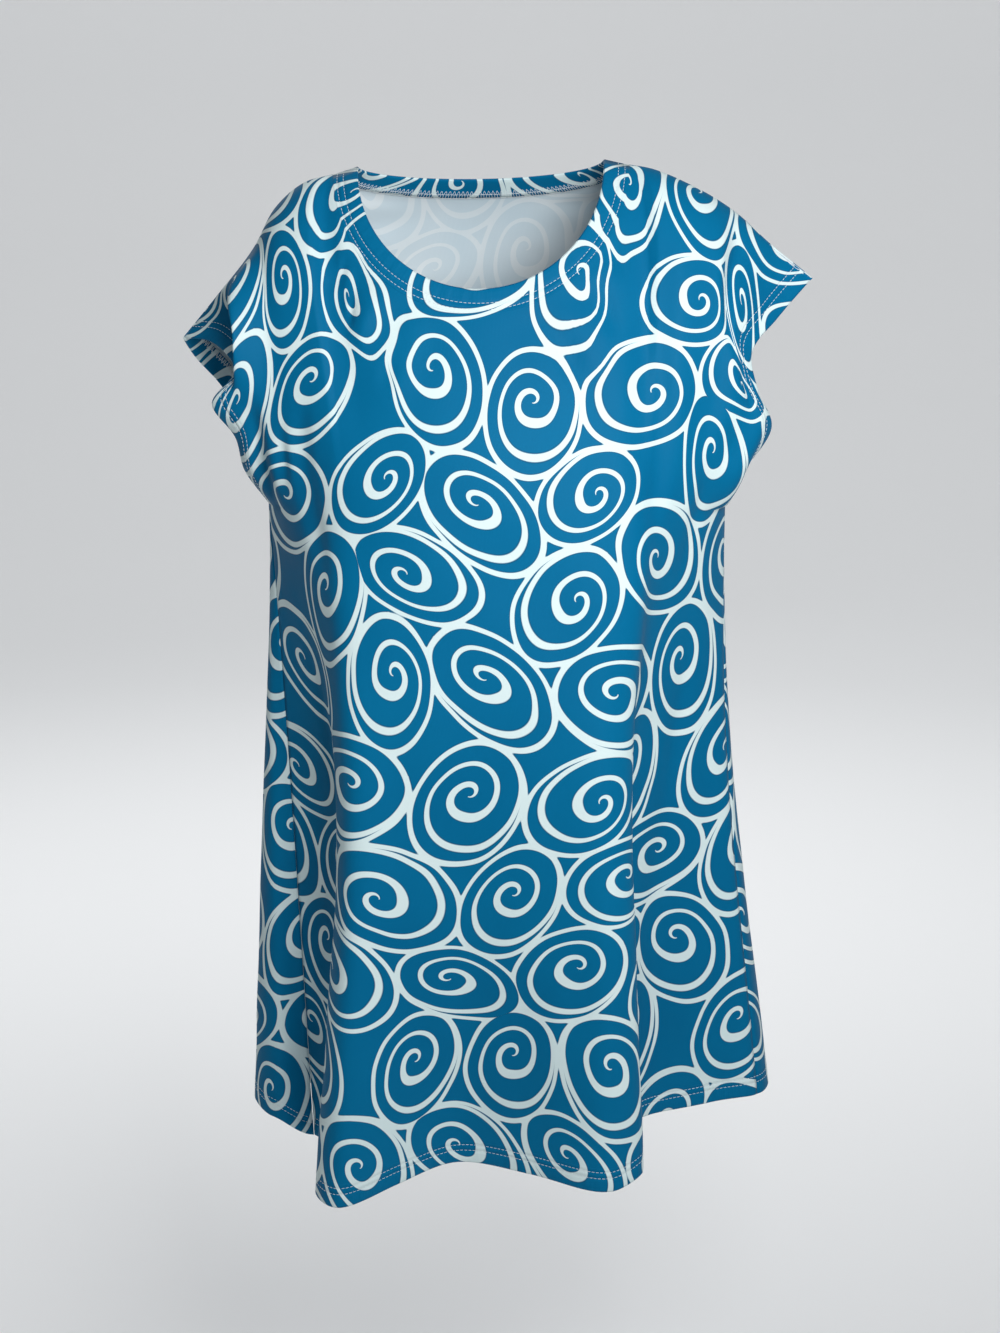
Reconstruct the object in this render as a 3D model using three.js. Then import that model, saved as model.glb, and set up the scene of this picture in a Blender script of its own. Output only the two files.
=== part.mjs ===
// A knit pull-on T-shirt dress with a scoop neck and cap sleeves cut in one with the body,
// standing open as if it were worn. It is cut as a front and a back, joined by shoulder and
// side seams, and its neck, sleeves and bottom edge are turned in and stitched down.
// Millimetres, +Z up, the front faces -Y. The origin lies between the shoulders, at the
// height of the neck points, where a wearer holds the dress.
import * as THREE from 'three';

// Cloth and seams
const CLOTH = 1.5;            // thickness of a cloth wall
const TURN_CLOTH = 1.2;       // thickness of a turned-in edge
const SEAM_GAP = 0.3;         // between two pieces that are sewn together
const HEM_DEPTH = 20;         // depth of the turned-in bottom edge
const CUFF_DEPTH = 18;        // depth of the turned-in sleeve edge
const NECK_DEPTH = 20;        // depth of the turned-in neck edge

// Heights
const CHEST_Z = -300;         // level of the underarm points
const WAIST_Z = -480;

// Height of the bottom edge across the dress
const HEM_HEIGHTS = [
  { x: -240, z: -855 },
  { x: -205, z: -865 },
  { x: -170, z: -887 },
  { x: -144, z: -888 },
  { x: -33, z: -873 },
  { x: 97, z: -873 },
  { x: 136, z: -863 },
  { x: 240, z: -850 },
];

// Neck opening: half its width, the heights of its two neck points, and how far it drops
// and comes forward at the front and the back
const NECK = {
  x: -13,
  half: 103,
  left: -18,
  right: -12,
  frontDrop: 99,
  frontOut: 72,
  backDrop: 14,
  backOut: 56,
};
const NECK_BOW = 0.7;         // below 1 the opening leaves the shoulder seams level

// Lines that run down each panel, listed from the left side seam to the right one: where
// each line lies, as x and y, at the chest, at the waist and at the bottom edge.
const FRONT_LINES = [
  { line: 'left seam', chest: [-197, 0], waist: [-186, -14], hem: [-169, -16] },
  { line: 'left tuck', chest: [-178, -52], waist: [-146, -56], hem: [-147, -64] },
  { line: 'left fold edge', chest: [-148, -88], waist: [-134, -106], hem: [-158, -128] },
  { line: 'left fold', chest: [-120, -108], waist: [-118, -127], hem: [-137, -152] },
  { line: 'left of middle', chest: [-68, -121], waist: [-74, -132], hem: [-86, -124] },
  { line: 'middle', chest: [-6, -124], waist: [-14, -131], hem: [-32, -96] },
  { line: 'right of middle', chest: [48, -122], waist: [46, -132], hem: [30, -120] },
  { line: 'right fold', chest: [92, -117], waist: [92, -131], hem: [92, -152] },
  { line: 'right fold edge', chest: [117, -105], waist: [113, -114], hem: [127, -133] },
  { line: 'right tuck', chest: [146, -82], waist: [116, -76], hem: [108, -72] },
  { line: 'right wing', chest: [172, -56], waist: [147, -45], hem: [140, -24] },
  { line: 'right wing edge', chest: [190, -28], waist: [180, -24], hem: [196, -15] },
  { line: 'right seam', chest: [197, 0], waist: [202, -4], hem: [241, -8] },
];
const BACK_LINES = [
  { line: 'left wrap', chest: [-197, 14], waist: [-199, -7], hem: [-200, -25] },
  { line: 'left corner', chest: [-191, 36], waist: [-204, 14], hem: [-225, 5] },
  { line: 'left blade', chest: [-168, 66], waist: [-190, 54], hem: [-214, 50] },
  { line: 'left fold', chest: [-130, 86], waist: [-150, 83], hem: [-168, 92] },
  { line: 'left trough', chest: [-88, 95], waist: [-95, 89], hem: [-106, 70] },
  { line: 'middle fold', chest: [-40, 98], waist: [-40, 97], hem: [-38, 99] },
  { line: 'right trough', chest: [8, 98], waist: [18, 92], hem: [32, 71] },
  { line: 'right fold', chest: [56, 97], waist: [75, 94], hem: [98, 97] },
  { line: 'right blade', chest: [104, 91], waist: [128, 85], hem: [164, 68] },
  { line: 'right side', chest: [150, 75], waist: [174, 69], hem: [226, 74] },
  { line: 'right corner', chest: [184, 42], waist: [202, 36], hem: [254, 26] },
];

// Shoulder seams, from the sleeve tip towards the neck
const SHOULDERS = {
  left: [
    { at: 'sleeve tip', x: -266, y: 2, z: -158 },
    { at: 'upper arm', x: -237, y: 0, z: -124 },
    { at: 'shoulder corner', x: -203, y: 0, z: -82 },
    { at: 'shoulder', x: -184, y: 0, z: -50 },
    { at: 'collar bone', x: -160, y: 0, z: -30 },
  ],
  right: [
    { at: 'sleeve tip', x: 266, y: 2, z: -108 },
    { at: 'upper arm', x: 230, y: 0, z: -80 },
    { at: 'shoulder corner', x: 199, y: 0, z: -53 },
    { at: 'shoulder', x: 162, y: 0, z: -32 },
    { at: 'collar bone', x: 130, y: 0, z: -19 },
  ],
};

// Sleeve edges, from the underarm to the sleeve tip
const SLEEVE_EDGES = {
  'front left': [
    { at: 'side', x: -214, y: -24, z: -268 },
    { at: 'ruffle', x: -219, y: -40, z: -238 },
    { at: 'lump', x: -236, y: -50, z: -208 },
    { at: 'under the fold', x: -216, y: -52, z: -182 },
    { at: 'below the cap', x: -238, y: -20, z: -160 },
  ],
  'front right': [
    { at: 'side', x: 212, y: -20, z: -268 },
    { at: 'flare', x: 231, y: -36, z: -230 },
    { at: 'above the flare', x: 217, y: -50, z: -198 },
    { at: 'notch', x: 211, y: -48, z: -167 },
    { at: 'below the cap', x: 235, y: -24, z: -139 },
  ],
  'back left': [
    { at: 'side', x: -210, y: 26, z: -270 },
    { at: 'back of the arm', x: -224, y: 46, z: -236 },
    { at: 'corner', x: -238, y: 44, z: -206 },
    { at: 'below the cap', x: -259, y: 24, z: -176 },
  ],
  'back right': [
    { at: 'side', x: 210, y: 24, z: -268 },
    { at: 'flare', x: 221, y: 44, z: -234 },
    { at: 'above the flare', x: 215, y: 55, z: -199 },
    { at: 'notch', x: 219, y: 46, z: -164 },
    { at: 'below the cap', x: 244, y: 22, z: -132 },
  ],
};

// How the cloth leaves the underarm and comes to the sleeve tip, as directions for the
// right side, and how far each direction is felt
const UNDERARM_WAY = { x: 0.2, y: 0.42, z: 0.88 };
const TIP_WAY = { x: -0.25, y: 0.95, z: 0.12 };
const UNDERARM_REACH = 170;
const SHOULDER_REACH = 185;
const TIP_REACH = 140;
const NECK_REACH = 165;
const CORNER_REACH = 95;      // beside the neck points, where columns fan out
const ARMHOLE_SPREAD = 0.24;  // share of the panel that turns with the underarm
const EDGE_SPREAD = 0.17;     // share of the panel that follows the sleeve edge
const RIDGE_RISE = 0.07;      // how steeply the cloth comes up to the shoulder seam

// Folds above the chest: where each lies across the panel and up it (0 at the chest, 1 at
// the shoulder), how wide it is each way, and how far it is pushed along x, y and z
const YOKE_FOLDS = [
  { panel: 'front', fold: 'left overhang', u: 0.1, v: 0.7, wide: 0.055, tall: 0.34, push: [-19, -14, 0] },
  { panel: 'front', fold: 'left undercut', u: 0.045, v: 0.68, wide: 0.045, tall: 0.26, push: [15, -2, 0] },
  { panel: 'front', fold: 'left side crease', u: 0.075, v: 0.2, wide: 0.04, tall: 0.3, push: [4, 8, 0] },
  { panel: 'front', fold: 'right crease', u: 0.9, v: 0.74, wide: 0.04, tall: 0.3, push: [-2, 10, 0] },
  { panel: 'front', fold: 'right overhang', u: 0.94, v: 0.16, wide: 0.05, tall: 0.3, push: [6, -7, 0] },
  { panel: 'front', fold: 'right bust crease', u: 0.74, v: 0.42, wide: 0.05, tall: 0.5, push: [0, 5, 0] },
  { panel: 'back', fold: 'left blade', u: 0.28, v: 0.45, wide: 0.16, tall: 0.42, push: [0, 8, 0] },
  { panel: 'back', fold: 'right blade', u: 0.72, v: 0.45, wide: 0.16, tall: 0.42, push: [0, 8, 0] },
  { panel: 'back', fold: 'left arm crease', u: 0.1, v: 0.5, wide: 0.05, tall: 0.4, push: [2, -8, 0] },
  { panel: 'back', fold: 'right arm crease', u: 0.9, v: 0.5, wide: 0.05, tall: 0.4, push: [-2, -8, 0] },
];

// Mesh steps
const DROP_STEPS = 17;        // rows from the turned bottom edge to the chest
const YOKE_STEPS = 12;        // rows from the chest to the shoulder seam and neck turn
const SHOULDER_STEPS = 12;    // columns across each shoulder
const NECK_STEPS = { front: 22, back: 16 };
const SPLINE_STEPS = 8;       // samples of each stretch of a ring

const SIDES = { left: -1, right: 1 };
const BACKWARDS = { front: 1, back: -1 };

const vec = (x, y, z) => new THREE.Vector3(x, y, z);
const mix = (a, b, t) => a + (b - a) * t;
const hump = (t) => (Math.abs(t) >= 1 ? 0 : 0.5 * (1 + Math.cos(Math.PI * t)));

function ease(t) {
  const s = Math.min(1, Math.max(0, t));
  return s * s * (3 - 2 * s);
}

function hermite(a, da, b, db, t) {
  const t2 = t * t;
  const t3 = t2 * t;
  return a * (2 * t3 - 3 * t2 + 1) + da * (t3 - 2 * t2 + t) + b * (3 * t2 - 2 * t3) + db * (t3 - t2);
}

// Height of the bottom edge at x, eased from one named height to the next.
function hemHeight(x) {
  const rows = HEM_HEIGHTS;
  if (x <= rows[0].x) return rows[0].z;
  const k = rows.findIndex((row) => row.x > x);
  if (k < 0) return rows[rows.length - 1].z;
  return mix(rows[k - 1].z, rows[k].z, ease((x - rows[k - 1].x) / (rows[k].x - rows[k - 1].x)));
}
const HEM_Z = hemHeight(0);

// A line's place between its three levels, with smooth bends.
function lineAt(row, drop) {
  const waist = (CHEST_Z - WAIST_Z) / (CHEST_Z - HEM_Z);
  return [0, 1].map((axis) => {
    const [a, b, c] = [row.chest[axis], row.waist[axis], row.hem[axis]];
    const upper = (b - a) / waist;
    const lower = (c - b) / (1 - waist);
    const middle = mix(upper, lower, waist);
    if (drop <= waist) return hermite(a, upper * waist, b, middle * waist, drop / waist);
    const rest = 1 - waist;
    return hermite(b, middle * rest, c, lower * rest, (drop - waist) / rest);
  });
}

// A point of a smooth closed curve through points, on the stretch after points[i].
function onRing(points, i, t) {
  const n = points.length;
  const [p0, p1, p2, p3] = [-1, 0, 1, 2].map((k) => points[(i + k + n) % n]);
  const gap = (a, b) => Math.sqrt(Math.hypot(b[0] - a[0], b[1] - a[1]));
  const [d0, d1, d2] = [gap(p0, p1), gap(p1, p2), gap(p2, p3)];
  return [0, 1].map((k) => {
    const m1 = ((p1[k] - p0[k]) / d0 - (p2[k] - p0[k]) / (d0 + d1) + (p2[k] - p1[k]) / d1) * d1;
    const m2 = ((p2[k] - p1[k]) / d1 - (p3[k] - p1[k]) / (d1 + d2) + (p3[k] - p2[k]) / d2) * d1;
    return hermite(p1[k], m1, p2[k], m2, t);
  });
}

// The half ring of one panel at a drop from the chest (0) to the bottom edge (1), as a
// function of the share u of its length, from the left seam to the right one.
function halfRing(panel, drop) {
  const points = [...FRONT_LINES, ...[...BACK_LINES].reverse()].map((row) => lineAt(row, drop));
  const first = panel === 'front' ? 0 : FRONT_LINES.length - 1;
  const last = panel === 'front' ? FRONT_LINES.length - 1 : points.length;
  const walk = [];
  for (let i = first; i < last; i++) {
    for (let s = 0; s < SPLINE_STEPS; s++) walk.push([i, s / SPLINE_STEPS]);
  }
  walk.push([last - 1, 1]);
  const places = walk.map(([i, t]) => onRing(points, i, t));
  const far = [0];
  for (let k = 1; k < places.length; k++) {
    far.push(far[k - 1] + Math.hypot(places[k][0] - places[k - 1][0], places[k][1] - places[k - 1][1]));
  }
  return (u) => {
    const goal = (panel === 'front' ? u : 1 - u) * far[far.length - 1];
    let k = 1;
    while (k < far.length - 1 && far[k] < goal) k++;
    const t = (goal - far[k - 1]) / (far[k] - far[k - 1]);
    const [i, from] = walk[k - 1];
    const to = walk[k][0] === i ? walk[k][1] : 1;
    const [x, y] = onRing(points, i, mix(from, to, t));
    return vec(x, y, mix(CHEST_Z, hemHeight(x), drop));
  };
}

const rings = new Map();
function ringPoint(panel, u, drop) {
  const key = `${panel} ${drop}`;
  if (!rings.has(key)) rings.set(key, halfRing(panel, drop));
  return rings.get(key)(u);
}

// The neck edge, from the left neck point (0) to the right one (1).
function neckEdge(panel, share) {
  const turn = Math.PI * (1 - share);
  const sink = Math.sin(turn);
  const x = NECK.x + NECK.half * Math.cos(turn);
  const z = mix(NECK.left, NECK.right, share);
  if (panel === 'front') return vec(x, -NECK.frontOut * sink ** NECK_BOW, z - NECK.frontDrop * sink);
  return vec(x, NECK.backOut * sink ** NECK_BOW, z - NECK.backDrop * sink);
}

// The line at which the turned-in neck edge ends, one turn away from the neck edge.
function neckTurnLine(panel, share) {
  const turn = Math.PI * (1 - share);
  const side = share < 0.5 ? 'left' : 'right';
  const seam = SHOULDERS[side][SHOULDERS[side].length - 1];
  const alongSeam = vec(seam.x, seam.y, seam.z).sub(neckEdge(panel, side === 'left' ? 0 : 1)).normalize();
  const down = panel === 'front' ? vec(0, -0.38, -0.92) : vec(0, 0.68, -0.73);
  const way = alongSeam.multiplyScalar(Math.abs(Math.cos(turn))).addScaledVector(down, Math.sin(turn));
  return neckEdge(panel, share).addScaledVector(way.normalize(), NECK_DEPTH);
}

// Smooth curves through named places
const curveThrough = (points) => new THREE.CatmullRomCurve3(points, false, 'centripetal');
const place = (row) => vec(row.x, row.y, row.z);
const shoulderCurves = {};
const sleeveCurves = {};
for (const side of ['left', 'right']) {
  const end = side === 'left' ? 0 : 1;
  shoulderCurves[side] = curveThrough([...SHOULDERS[side].map(place), neckTurnLine('front', end)]);
  for (const panel of ['front', 'back']) {
    const edge = SLEEVE_EDGES[`${panel} ${side}`].map(place);
    const tip = place(SHOULDERS[side][0]);
    sleeveCurves[`${panel} ${side}`] = curveThrough([ringPoint(panel, end, 0), ...edge, tip]);
  }
}

function shoulderShare(panel) {
  return SHOULDER_STEPS / (2 * SHOULDER_STEPS + NECK_STEPS[panel]);
}

// The top of a column at share u: its place, the way the cloth crosses it, and how far that
// way is felt.
function columnTop(panel, u) {
  const part = shoulderShare(panel);
  const back = BACKWARDS[panel];
  const side = u < 0.5 ? 'left' : 'right';
  const overSeam = vec(0, back, RIDGE_RISE);
  if (u > part && u < 1 - part) {
    const share = (u - part) / (1 - 2 * part);
    const near = Math.min(share, 1 - share);
    const at = neckTurnLine(panel, share);
    const inwards = neckEdge(panel, share).sub(at).normalize();
    const [before, after] = [Math.max(0, share - 0.01), Math.min(1, share + 0.01)];
    const along = neckTurnLine(panel, before).sub(neckTurnLine(panel, after));
    along.multiplyScalar(side === 'left' ? 1 : -1).normalize();
    const swing = (Math.PI / 3) * (1 - ease(near / 0.24));
    const way = inwards.multiplyScalar(Math.cos(swing)).addScaledVector(along, Math.sin(swing)).normalize();
    const fan = mix(SHOULDER_REACH, CORNER_REACH, ease(near / 0.1));
    return { at, way, reach: mix(fan, NECK_REACH, ease((near - 0.1) / 0.26)) };
  }
  const share = Math.min(1, (side === 'left' ? u : 1 - u) / part);
  const curve = shoulderCurves[side];
  const toNeck = curve.getTangentAt(share);
  const tip = vec(SIDES[side] * TIP_WAY.x, back * TIP_WAY.y, TIP_WAY.z);
  const swing = (Math.PI / 6) * ease((share - 0.62) / 0.38);
  const way = overSeam.normalize().multiplyScalar(Math.cos(swing)).addScaledVector(toNeck, Math.sin(swing));
  way.copy(tip.lerp(way, ease(share * 1.8))).normalize();
  return { at: curve.getPointAt(share), way, reach: mix(TIP_REACH, SHOULDER_REACH, ease(share * 2)) };
}

// A column without its folds, from the chest (0) to its top (1).
function smoothColumn(panel, u, level) {
  const foot = ringPoint(panel, u, 0);
  const top = columnTop(panel, u);
  const rise = foot.clone().sub(ringPoint(panel, u, 0.02)).normalize();
  const side = u < 0.5 ? 'left' : 'right';
  const inner = ease(Math.min(u, 1 - u) / ARMHOLE_SPREAD);
  const turnedOut = -BACKWARDS[panel] * UNDERARM_WAY.y;
  const arm = vec(SIDES[side] * UNDERARM_WAY.x, turnedOut, UNDERARM_WAY.z).normalize();
  const reach = mix(UNDERARM_REACH, foot.distanceTo(top.at), inner);
  const out = arm.lerp(rise, inner).normalize().multiplyScalar(reach);
  const over = top.way.multiplyScalar(top.reach);
  const at = ['x', 'y', 'z'].map((k) => hermite(foot[k], out[k], top.at[k], over[k], level));
  return vec(...at);
}

// A point of a panel: u runs from the left edge to the right one, level from -1 at the
// bottom edge through 0 at the chest to 1 at the shoulder seam and the neck turn.
function clothPoint(panel, u, level) {
  if (level <= 0) return ringPoint(panel, u, -level);
  const side = u < 0.5 ? 'left' : 'right';
  const at = smoothColumn(panel, u, level);
  const edge = sleeveCurves[`${panel} ${side}`].getPointAt(level);
  const missing = edge.sub(smoothColumn(panel, side === 'left' ? 0 : 1, level));
  at.addScaledVector(missing, 1 - ease(Math.min(u, 1 - u) / EDGE_SPREAD));
  for (const fold of YOKE_FOLDS) {
    if (fold.panel !== panel) continue;
    const across = hump((u - fold.u) / fold.wide);
    const up = hump((level - fold.v) / fold.tall);
    at.addScaledVector(vec(...fold.push), ease(6 * (1 - level)) * across * up);
  }
  return at;
}

// The share of a row at which the turned-in sleeve edge ends.
function cuffShare(panel, side, level) {
  const way = side === 'left' ? 1 : -1;
  const start = side === 'left' ? 0 : 1;
  const step = 0.004;
  let last = clothPoint(panel, start, level);
  let far = 0;
  for (let u = step; ; u += step) {
    const next = clothPoint(panel, start + way * u, level);
    const stride = next.distanceTo(last);
    if (far + stride >= CUFF_DEPTH) return u - step + (step * (CUFF_DEPTH - far)) / stride;
    far += stride;
    last = next;
  }
}

// The net of a panel: its points, row by row from the bottom, then the neck edge, and its
// faces, each with the row and column of its cell.
function panelNet(panel) {
  const columns = 2 * SHOULDER_STEPS + NECK_STEPS[panel];
  const part = shoulderShare(panel);
  const turnUp = -1 + HEM_DEPTH / (CHEST_Z - HEM_Z);
  const levels = [-1];
  for (let k = 0; k <= DROP_STEPS; k++) levels.push(mix(turnUp, 0, k / DROP_STEPS));
  for (let k = 1; k <= YOKE_STEPS; k++) levels.push(k / YOKE_STEPS);
  const points = [];
  for (const level of levels) {
    const cuff = { left: cuffShare(panel, 'left', level), right: cuffShare(panel, 'right', level) };
    for (let i = 0; i <= columns; i++) {
      const k = Math.min(i, columns - i);
      const side = i < columns / 2 ? 'left' : 'right';
      const shoulder = k === 0 ? 0 : mix(cuff[side], part, (k - 1) / (SHOULDER_STEPS - 1));
      const u = k <= SHOULDER_STEPS ? (side === 'left' ? shoulder : 1 - shoulder) : i / columns;
      points.push(clothPoint(panel, u, level));
    }
  }
  const wide = columns + 1;
  const top = (levels.length - 1) * wide;
  for (let i = 0; i <= NECK_STEPS[panel]; i++) points.push(neckEdge(panel, i / NECK_STEPS[panel]));
  const faces = [];
  const addCell = (row, column, a, b, c, d) => {
    const corners = panel === 'front' ? [[a, b, c], [a, c, d]] : [[a, c, b], [a, d, c]];
    for (const ids of corners) faces.push({ row, column, ids });
  };
  for (let j = 0; j + 1 < levels.length; j++) {
    for (let i = 0; i < columns; i++) {
      const foot = j * wide + i;
      addCell(j, i, foot, foot + 1, foot + 1 + wide, foot + wide);
    }
  }
  for (let i = 0; i < NECK_STEPS[panel]; i++) {
    const foot = top + SHOULDER_STEPS + i;
    addCell(levels.length - 1, SHOULDER_STEPS + i, foot, foot + 1, top + wide + i + 1, top + wide + i);
  }
  const normals = points.map(() => vec(0, 0, 0));
  for (const { ids: [a, b, c] } of faces) {
    const face = points[b].clone().sub(points[a]).cross(points[c].clone().sub(points[a]));
    for (const id of [a, b, c]) normals[id].add(face);
  }
  for (const normal of normals) normal.normalize();
  return { points, normals, faces, columns, wide, chestRow: DROP_STEPS + 1, topRow: levels.length - 1 };
}

const nets = { front: panelNet('front'), back: panelNet('back') };

// The points at which two panels are sewn together, each with the point next to it inside
// its own panel.
function seamPoints(net, panel) {
  const seam = [];
  for (let j = 0; j <= net.chestRow; j++) {
    seam.push([j * net.wide, j * net.wide + 1]);
    seam.push([j * net.wide + net.columns, j * net.wide + net.columns - 1]);
  }
  const top = net.topRow * net.wide;
  for (let k = 0; k <= SHOULDER_STEPS; k++) {
    seam.push([top + k, top + k - net.wide]);
    seam.push([top + net.columns - k, top + net.columns - k - net.wide]);
  }
  const neck = top + net.wide;
  seam.push([neck, neck + 1]);
  seam.push([neck + NECK_STEPS[panel], neck + NECK_STEPS[panel] - 1]);
  return seam;
}

// Sewn edges share one direction for their thickness and stand half a gap back each.
function sewTogether() {
  const fronts = seamPoints(nets.front, 'front');
  const backs = seamPoints(nets.back, 'back');
  const moves = [];
  fronts.forEach(([f, fInner], k) => {
    const [b, bInner] = backs[k];
    const shared = nets.front.normals[f].clone().add(nets.back.normals[b]).normalize();
    for (const [net, id, inner] of [[nets.front, f, fInner], [nets.back, b, bInner]]) {
      net.normals[id] = shared.clone();
      const pull = net.points[inner].clone().sub(net.points[id]).projectOnPlane(shared);
      moves.push([net.points[id], pull.setLength(SEAM_GAP / 2)]);
    }
  });
  for (const [point, pull] of moves) point.add(pull);
}
sewTogether();

// A closed wall over some faces of a net, between two distances out from its points.
function wallGeometry(net, faces, outside, inside) {
  const used = [...new Set(faces.flatMap((face) => face.ids))];
  const order = new Map(used.map((id, k) => [id, k]));
  const count = used.length;
  const position = new Float32Array(count * 6);
  used.forEach((id, k) => {
    const out = net.points[id].clone().addScaledVector(net.normals[id], outside);
    const inn = net.points[id].clone().addScaledVector(net.normals[id], inside);
    position.set([out.x, out.y, out.z], k * 3);
    position.set([inn.x, inn.y, inn.z], (count + k) * 3);
  });
  const index = [];
  const border = new Map();
  for (const face of faces) {
    const [a, b, c] = face.ids.map((id) => order.get(id));
    index.push(a, b, c, count + a, count + c, count + b);
    for (const [p, q] of [[a, b], [b, c], [c, a]]) {
      if (border.has(`${q} ${p}`)) border.delete(`${q} ${p}`);
      else border.set(`${p} ${q}`, [p, q]);
    }
  }
  for (const [p, q] of border.values()) index.push(p, count + p, q, q, count + p, count + q);
  const geometry = new THREE.BufferGeometry();
  geometry.setAttribute('position', new THREE.BufferAttribute(position, 3));
  geometry.setIndex(index);
  geometry.computeVertexNormals();
  return geometry;
}

const jersey = new THREE.MeshStandardMaterial({ color: 0x0f6f9f, roughness: 0.62, metalness: 0 });
const wrongSide = new THREE.MeshStandardMaterial({ color: 0xdfe6ea, roughness: 0.7, metalness: 0 });

const dress = new THREE.Group();

function addPiece(name, panel, material, chosen, outside, inside) {
  const net = nets[panel];
  const mesh = new THREE.Mesh(wallGeometry(net, net.faces.filter(chosen), outside, inside), material);
  mesh.name = name;
  dress.add(mesh);
}

const turnTop = -CLOTH - SEAM_GAP;
const turnUnder = turnTop - TURN_CLOTH;

for (const panel of ['front', 'back']) {
  const { columns, chestRow, topRow } = nets[panel];
  const onSleeve = (face) => face.row >= chestRow && face.row < topRow;
  addPiece(`${panel}_panel`, panel, jersey, () => true, 0, -CLOTH);
  addPiece(`${panel}_neck_turn`, panel, wrongSide, (face) => face.row === topRow, turnTop, turnUnder);
  addPiece(`${panel}_hem_turn`, panel, wrongSide, (face) => face.row === 0, turnTop, turnUnder);
  addPiece(`${panel}_left_sleeve_turn`, panel, wrongSide,
    (face) => onSleeve(face) && face.column === 0, turnTop, turnUnder);
  addPiece(`${panel}_right_sleeve_turn`, panel, wrongSide,
    (face) => onSleeve(face) && face.column === columns - 1, turnTop, turnUnder);
}

export default dress;
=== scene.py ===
import math
import bmesh
import bpy
import numpy as np
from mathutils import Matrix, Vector


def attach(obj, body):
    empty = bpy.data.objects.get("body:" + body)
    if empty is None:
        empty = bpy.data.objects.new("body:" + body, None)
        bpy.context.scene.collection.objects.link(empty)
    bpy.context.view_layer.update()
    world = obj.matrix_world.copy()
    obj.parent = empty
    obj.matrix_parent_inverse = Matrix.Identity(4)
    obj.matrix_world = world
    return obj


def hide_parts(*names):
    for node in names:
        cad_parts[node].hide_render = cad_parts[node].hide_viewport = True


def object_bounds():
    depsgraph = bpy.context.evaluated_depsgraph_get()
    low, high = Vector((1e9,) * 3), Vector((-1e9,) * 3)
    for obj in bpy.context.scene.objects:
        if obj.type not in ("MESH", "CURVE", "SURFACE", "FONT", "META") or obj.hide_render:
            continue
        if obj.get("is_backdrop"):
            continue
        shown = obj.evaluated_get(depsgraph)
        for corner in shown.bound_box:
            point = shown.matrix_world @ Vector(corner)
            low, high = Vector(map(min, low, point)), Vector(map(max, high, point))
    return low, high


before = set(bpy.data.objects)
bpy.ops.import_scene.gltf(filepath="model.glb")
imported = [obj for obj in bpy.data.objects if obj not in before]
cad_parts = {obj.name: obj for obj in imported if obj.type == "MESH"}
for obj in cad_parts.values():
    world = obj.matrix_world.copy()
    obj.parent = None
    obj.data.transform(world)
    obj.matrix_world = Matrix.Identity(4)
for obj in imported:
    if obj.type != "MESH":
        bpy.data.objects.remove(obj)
cad_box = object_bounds()
bpy.ops.object.select_all(action="DESELECT")

# Shape of the cloth
# The dress is a front and a back of printed jersey, each cut in one with its half of both cap
# sleeves. Both stand in folds that run down from the bust and the shoulder blades, worked out
# here in millimetres from the same named lines, seams and edges as the solids.
MM = 0.001
CHEST_Z, WAIST_Z = -300.0, -480.0
HEM_TURN, CUFF_TURN, NECK_TURN = 20.0, 18.0, 20.0
HEM_HEIGHTS = [(-240, -855), (-205, -865), (-170, -887), (-144, -888), (-33, -873), (97, -873),
               (136, -863), (240, -850)]
NECK = {"x": -13, "half": 103, "left": -18, "right": -12, "front_drop": 99, "front_out": 72,
        "back_drop": 14, "back_out": 56}
NECK_BOW = 0.7

# Each line: name, then x and y at the chest, at the waist and at the bottom edge
FRONT_LINES = [
    ("left seam", (-197, 0), (-186, -14), (-169, -16)),
    ("left tuck", (-178, -52), (-146, -56), (-147, -64)),
    ("left fold edge", (-148, -88), (-134, -106), (-158, -128)),
    ("left fold", (-120, -108), (-118, -127), (-137, -152)),
    ("left of middle", (-68, -121), (-74, -132), (-86, -124)),
    ("middle", (-6, -124), (-14, -131), (-32, -96)),
    ("right of middle", (48, -122), (46, -132), (30, -120)),
    ("right fold", (92, -117), (92, -131), (92, -152)),
    ("right fold edge", (117, -105), (113, -114), (127, -133)),
    ("right tuck", (146, -82), (116, -76), (108, -72)),
    ("right wing", (172, -56), (147, -45), (140, -24)),
    ("right wing edge", (190, -28), (180, -24), (196, -15)),
    ("right seam", (197, 0), (202, -4), (241, -8)),
]
BACK_LINES = [
    ("left wrap", (-197, 14), (-199, -7), (-200, -25)),
    ("left corner", (-191, 36), (-204, 14), (-225, 5)),
    ("left blade", (-168, 66), (-190, 54), (-214, 50)),
    ("left fold", (-130, 86), (-150, 83), (-168, 92)),
    ("left trough", (-88, 95), (-95, 89), (-106, 70)),
    ("middle fold", (-40, 98), (-40, 97), (-38, 99)),
    ("right trough", (8, 98), (18, 92), (32, 71)),
    ("right fold", (56, 97), (75, 94), (98, 97)),
    ("right blade", (104, 91), (128, 85), (164, 68)),
    ("right side", (150, 75), (174, 69), (226, 74)),
    ("right corner", (184, 42), (202, 36), (254, 26)),
]
SHOULDERS = {
    "left": [(-266, 2, -158), (-237, 0, -124), (-203, 0, -82), (-184, 0, -50), (-160, 0, -30)],
    "right": [(266, 2, -108), (230, 0, -80), (199, 0, -53), (162, 0, -32), (130, 0, -19)],
}
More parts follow.
